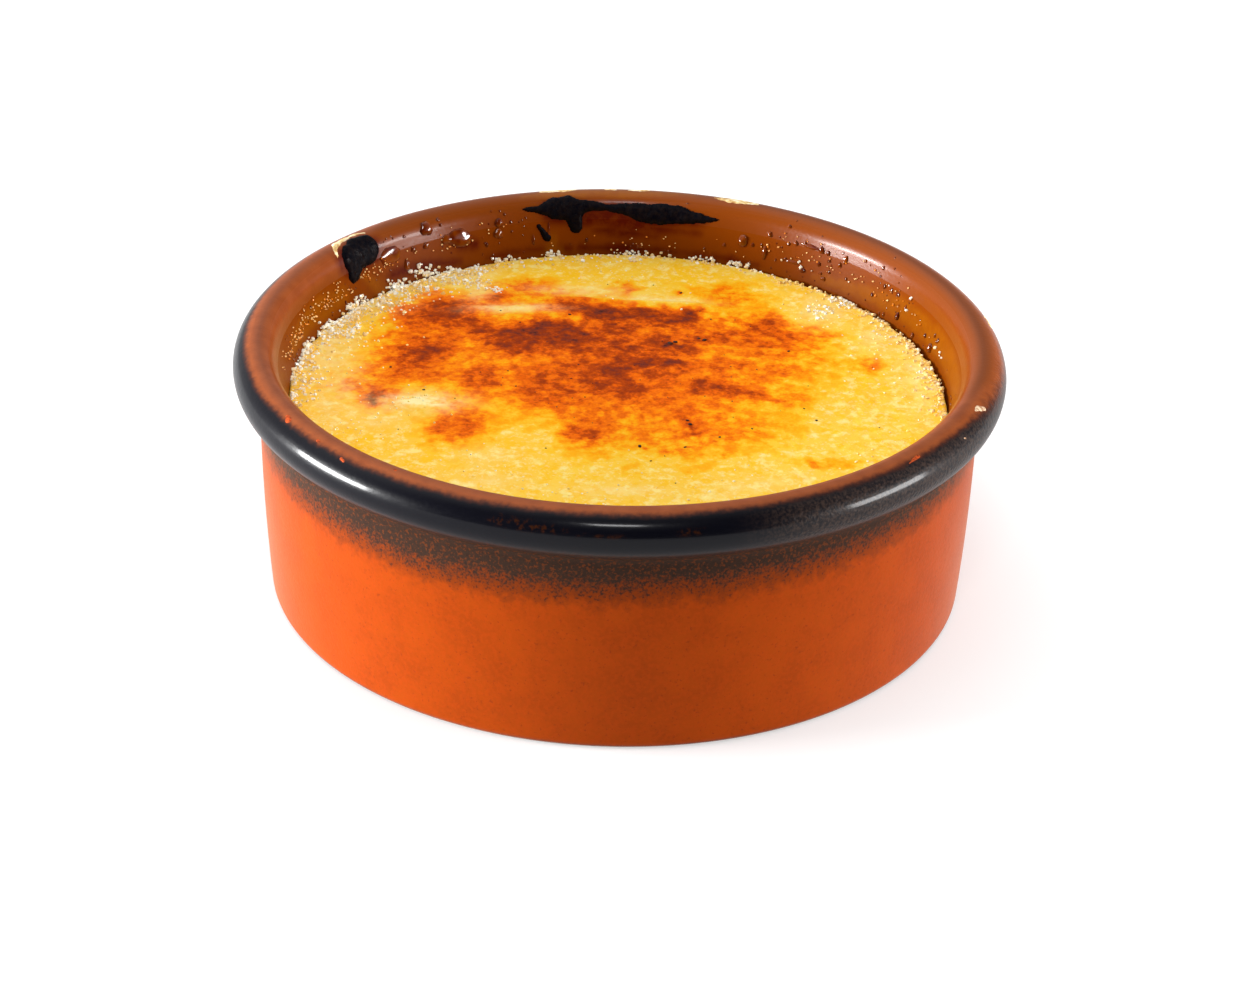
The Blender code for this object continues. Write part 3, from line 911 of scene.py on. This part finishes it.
def sugar_places(rng):
    """Where the larger grains lie, as points in mm with how golden each grain is."""
    places = []
    for first, last, inner, outer, density, least in SUGAR_BANDS:
        area = math.radians(last - first) * (outer**2 - inner**2) / 2
        for _ in range(round(area * density)):
            turn = math.radians(rng.uniform(first, last))
            radius = min(outer - abs(rng.gauss(0, 1)) * (outer - inner) / 2, outer)
            golden = least + (1 - least) * rng.random()
            places.append((radius * math.cos(turn), radius * math.sin(turn), None, golden))
    return places + heap_places(SUGAR_HEAPS, 1.5, rng) + wall_places(WALL_SUGAR, 0.0, 0.8, rng)


def heap_places(heaps, power, rng):
    """Places of grains in heaps on the custard; the higher the power, the fewer of them are golden."""
    return [
        (rng.gauss(x, radius / 2), rng.gauss(y, radius / 2), None, rng.random() ** power)
        for x, y, radius, count in heaps
        for _ in range(count)
    ]


def wall_places(groups, least, most, rng):
    """Places of grains that stick to the inner wall, as golden as least to most."""
    places = []
    for angle, run, along, across, count in groups:
        for _ in range(count):
            where = on_dish(rng.gauss(angle, along / 2), min(run + abs(rng.gauss(0, across)), -4), 0.15)
            places.append((*(where / MM).tolist(), least + (most - least) * rng.random() ** 2))
    return places


def make_grains(name, places, smallest, largest, bevel, material, rng):
    """Loose grains, each a small bevelled block of its own size and turn, lying at some places in mm."""
    block, faces = template(bevelled_cube, bevel=bevel)
    points, golden = [], []
    for x, y, z, gold in places:
        size = smallest + (largest - smallest) * rng.random() ** 1.6
        shape = block * [size * rng.uniform(low, high) for low, high in GRAIN_PROPORTIONS]
        turn = Matrix.Rotation(rng.uniform(0, math.tau), 3, "Z")
        for axis in "XY":
            turn = turn @ Matrix.Rotation(rng.uniform(-GRAIN_TILT, GRAIN_TILT), 3, axis)
        if z is None:
            reach = FILL_WALL_RADIUS - 0.3 - size / 2
            shrink = min(1.0, reach / max(math.hypot(x, y), 0.001))
            x, y = x * shrink, y * shrink
            z = float(custard_top(np.array(x), np.array(y))) + size * rng.uniform(-0.2, 0.25)
        points.append(shape @ np.array(turn).T + (x, y, z))
        golden.append(np.full(len(block), gold))
    values = {"golden": np.concatenate(golden)}
    faces = copies(faces, len(block), len(places))
    grains = mesh_object(name, np.concatenate(points) * MM, faces, material, values)
    grains.data.shade_flat()
    return grains


def sugar_finish(name, pale, golden, transmission):
    """Sugar crystals, clear to milky, some of them tinted by the syrup they lie in."""
    f = Finish(name, Specular_IOR_Level=0.5, Transmission_Weight=transmission, IOR=1.45)
    tint = f.sum(f.attribute("golden"), f.step(f.noise(3.0), 0.4, 0.7, -0.1, 0.3))
    f.set("Base Color", f.mix(f.step(tint, 0.1, 1.0), pale, golden))
    f.set("Roughness", f.step(f.noise(0.5), 0.3, 0.7, 0.1, 0.3))
    return f.material


def make_sugar():
    rng = random.Random(SEED + 1)
    loose = sugar_finish("sugar_crystals", (1.0, 0.97, 0.84), (0.88, 0.58, 0.16), 0.05)
    coarse = make_grains("sugar_grains", sugar_places(rng), 0.22, 0.64, 0.12, loose, rng)
    places = heap_places(FINE_SUGAR, 1, rng)
    sunk = sugar_finish("sunken_sugar", (1.0, 0.92, 0.62), (1.0, 0.74, 0.2), 0.0)
    fine = make_grains("fine_sugar", places, 0.2, 0.4, 0.2, sunk, rng)
    amber = sugar_finish("amber_sugar", (1.0, 0.7, 0.3), (0.9, 0.28, 0.02), 0.0)
    places = wall_places(WALL_GLITTER, 0.0, 1.2, rng)
    glitter = make_grains("sugar_glitter", places, 0.13, 0.3, 0.2, amber, rng)
    return coarse, fine, glitter


# Dark specks on the custard: x, y, size
SPECKS = (
    (3.3, -18.4, 0.7), (10.2, -18.4, 0.5), (9.8, 36.5, 0.6), (8, 16.6, 0.9), (8.8, 17.2, 0.7),
    (13.5, 18.4, 0.8), (12.6, 18.9, 0.5), (-30.5, -2, 0.45), (-36.2, 6, 0.4), (15.5, -15, 0.4),
    (20.5, -12.2, 0.4), (5, -23, 0.35), (30.5, -9, 0.4), (-8.4, 26.4, 0.5), (27, 15.5, 0.45),
    (11, -11, 0.6), (10.6, -9.8, 0.5),
)
SCATTERED_SPECKS = 60


def make_specks():
    rng = random.Random(SEED + 2)
    places = list(SPECKS)
    for _ in range(SCATTERED_SPECKS):
        places.append((rng.gauss(0, 18), rng.gauss(4, 14), rng.uniform(0.15, 0.3)))
    block, faces = template(bevelled_cube, bevel=0.2)
    points = []
    for x, y, size in places:
        turn = Matrix.Rotation(rng.uniform(0, math.tau), 3, "Z")
        shape = block * [size, size * rng.uniform(0.5, 0.9), size * 0.35]
        z = float(custard_top(np.array(x), np.array(y))) + 0.03
        points.append(shape @ np.array(turn).T + (x, y, z))
    f = Finish("burnt_specks", Specular_IOR_Level=0.2)
    f.set("Base Color", f.mix(f.step(f.noise(1.0), 0.4, 0.6), (0.01, 0.005, 0.004), (0.05, 0.015, 0.006)))
    f.set("Roughness", f.step(f.noise(0.5), 0.3, 0.7, 0.4, 0.7))
    faces = copies(faces, len(block), len(places))
    return mesh_object("dark_specks", np.concatenate(points) * MM, faces, f.material)


# ---- the room, the lights and the camera
PANEL_AIM = Vector((0, 0, 0.02))


def panel(name, azimuth, elevation, distance, size, brightness):
    """A soft light panel facing the dish, from a direction in degrees; distance and size are in metres."""
    turn, tilt = math.radians(azimuth), math.radians(elevation)
    light = bpy.data.lights.new(name, "AREA")
    light.shape = "RECTANGLE"
    light.size, light.size_y = size
    light.energy = brightness * math.pi * size[0] * size[1]
    obj = bpy.data.objects.new(name, light)
    level = math.cos(tilt)
    offset = Vector((level * math.cos(turn), level * math.sin(turn), math.sin(tilt))) * distance
    obj.location = PANEL_AIM + offset
    obj.rotation_euler = (-offset).to_track_quat("-Z", "Y").to_euler()
    obj.visible_camera = False
    bpy.context.scene.collection.objects.link(obj)
    return obj


def make_studio():
    """A pale floor that glows, less so far right and far back; the light panels; the surroundings."""
    f = Finish("studio_floor", Roughness=0.9, Specular_IOR_Level=0.0, Emission_Strength=0.47)
    f.set("Base Color", f.mix(f.noise(40), (0.55, 0.55, 0.55), (0.57, 0.57, 0.57)))
    place = f.add("SeparateXYZ", {0: f.mm}).outputs
    falling = f.sum(f.step(place["X"], 100, 560), f.step(place["Y"], 240, 560))
    f.set("Emission Color", f.mix(falling, (1, 1, 1), (0.1, 0.1, 0.1)))
    half = 2.5
    points = [(-half, -half, 0), (half, -half, 0), (half, half, 0), (-half, half, 0)]
    floor = mesh_object("floor", np.array(points), [(0, 1, 2, 3)], f.material)

    panel("left_panel", -174, 4.8, 1.0, (0.46, 0.22), 112)
    panel("right_panel", -11, 5.5, 1.0, (0.46, 0.24), 33)
    right_fill = panel("right_fill", 22, 5.5, 1.0, (0.46, 0.24), 17)
    panel("front_strip", -90, 52, 1.0, (0.19, 0.1), 34)
    top_fill = panel("top_fill", -90, 82, 1.0, (0.6, 0.6), 2.2)
    for fill in (right_fill, top_fill):
        fill.visible_glossy = False
    bpy.context.scene.world = studio_world()
    bpy.context.scene.view_settings.view_transform = "Standard"


def studio_world():
    """A light tent: dark in front, pale behind, brighter above and left, brightest low at both sides."""
    world = bpy.data.worlds.new("studio")
    world.use_nodes = True
    w = Nodes(world.node_tree)
    place = w.add("SeparateXYZ", {0: w.add("TexCoord").outputs["Generated"]}).outputs
    across, level = (w.add("Math", {0: place[axis]}, operation="ABSOLUTE").outputs[0] for axis in "XZ")
    back = w.step(place["Y"], -0.5, 0.3, 0.03, 1.0)
    upper = w.step(place["Z"], 0.3, 0.85, 0.62, 1.5)
    left = w.step(place["X"], -0.3, 0.5, 1.1, 0.42)
    sides = w.step(across, 0.75, 1.0, 0.0, 2.6)
    low = w.step(level, 0.1, 0.5, 1.0, 0.0)
    front = w.step(place["Y"], -0.1, 0.35, 1.0, 0.1)
    sky = w.times(w.times(back, upper), left)
    light = w.sum(w.times(sides, w.times(low, front)), sky)
    background = world.node_tree.nodes["Background"]
    w.feed(background.inputs["Strength"], light)
    background.inputs["Color"].default_value = (1, 1, 1, 1)
    return world


def make_camera():
    camera = bpy.data.cameras.new("camera")
    camera.sensor_width = 36
    camera.lens = 99.5
    camera.clip_start, camera.clip_end = 0.01, 20
    obj = bpy.data.objects.new("camera", camera)
    place, aim = Vector((0, -0.4875, 0.276)), Vector((0.00214, 0, 0.01159))
    view = (aim - place).to_track_quat("-Z", "Y").to_matrix()
    roll = Matrix.Rotation(math.radians(1.534), 3, "Z")
    obj.matrix_world = Matrix.Translation(place) @ (view @ roll).to_4x4()
    bpy.context.scene.collection.objects.link(obj)
    bpy.context.scene.camera = obj


make_camera()
make_studio()

dish = make_dish()
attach(dish, "root")
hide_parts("dish")

custard = make_custard()
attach(custard, "root")
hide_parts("custard")

caramel = crust("burnt_caramel", BURNT_CARAMEL, 0.42, burnt_finish(), edge=0.9, ragged=0.35, lumps=0.12)
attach(caramel, "root")

smears = crust("custard_smears", CUSTARD_SMEARS, 0.05, smear_finish(), edge=0.5, ragged=0.5)
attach(smears, "root")

clay_chips = chip_finish("chipped_clay", (0.4, 0.058, 0.01), (0.16, 0.026, 0.006))
chips = crust("glaze_chips", GLAZE_CHIPS, 0.03, clay_chips, edge=0.3, ragged=0.25, cell=0.1)
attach(chips, "root")

pale_clay = chip_finish("pale_chip", (0.62, 0.46, 0.3), (0.3, 0.16, 0.09))
pale_chips = crust("pale_chips", PALE_CHIPS, 0.03, pale_clay, edge=0.3, ragged=0.3, cell=0.1)
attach(pale_chips, "root")

drops = make_drops()
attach(drops, "root")

for grains in make_sugar():
    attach(grains, "root")

specks = make_specks()
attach(specks, "root")
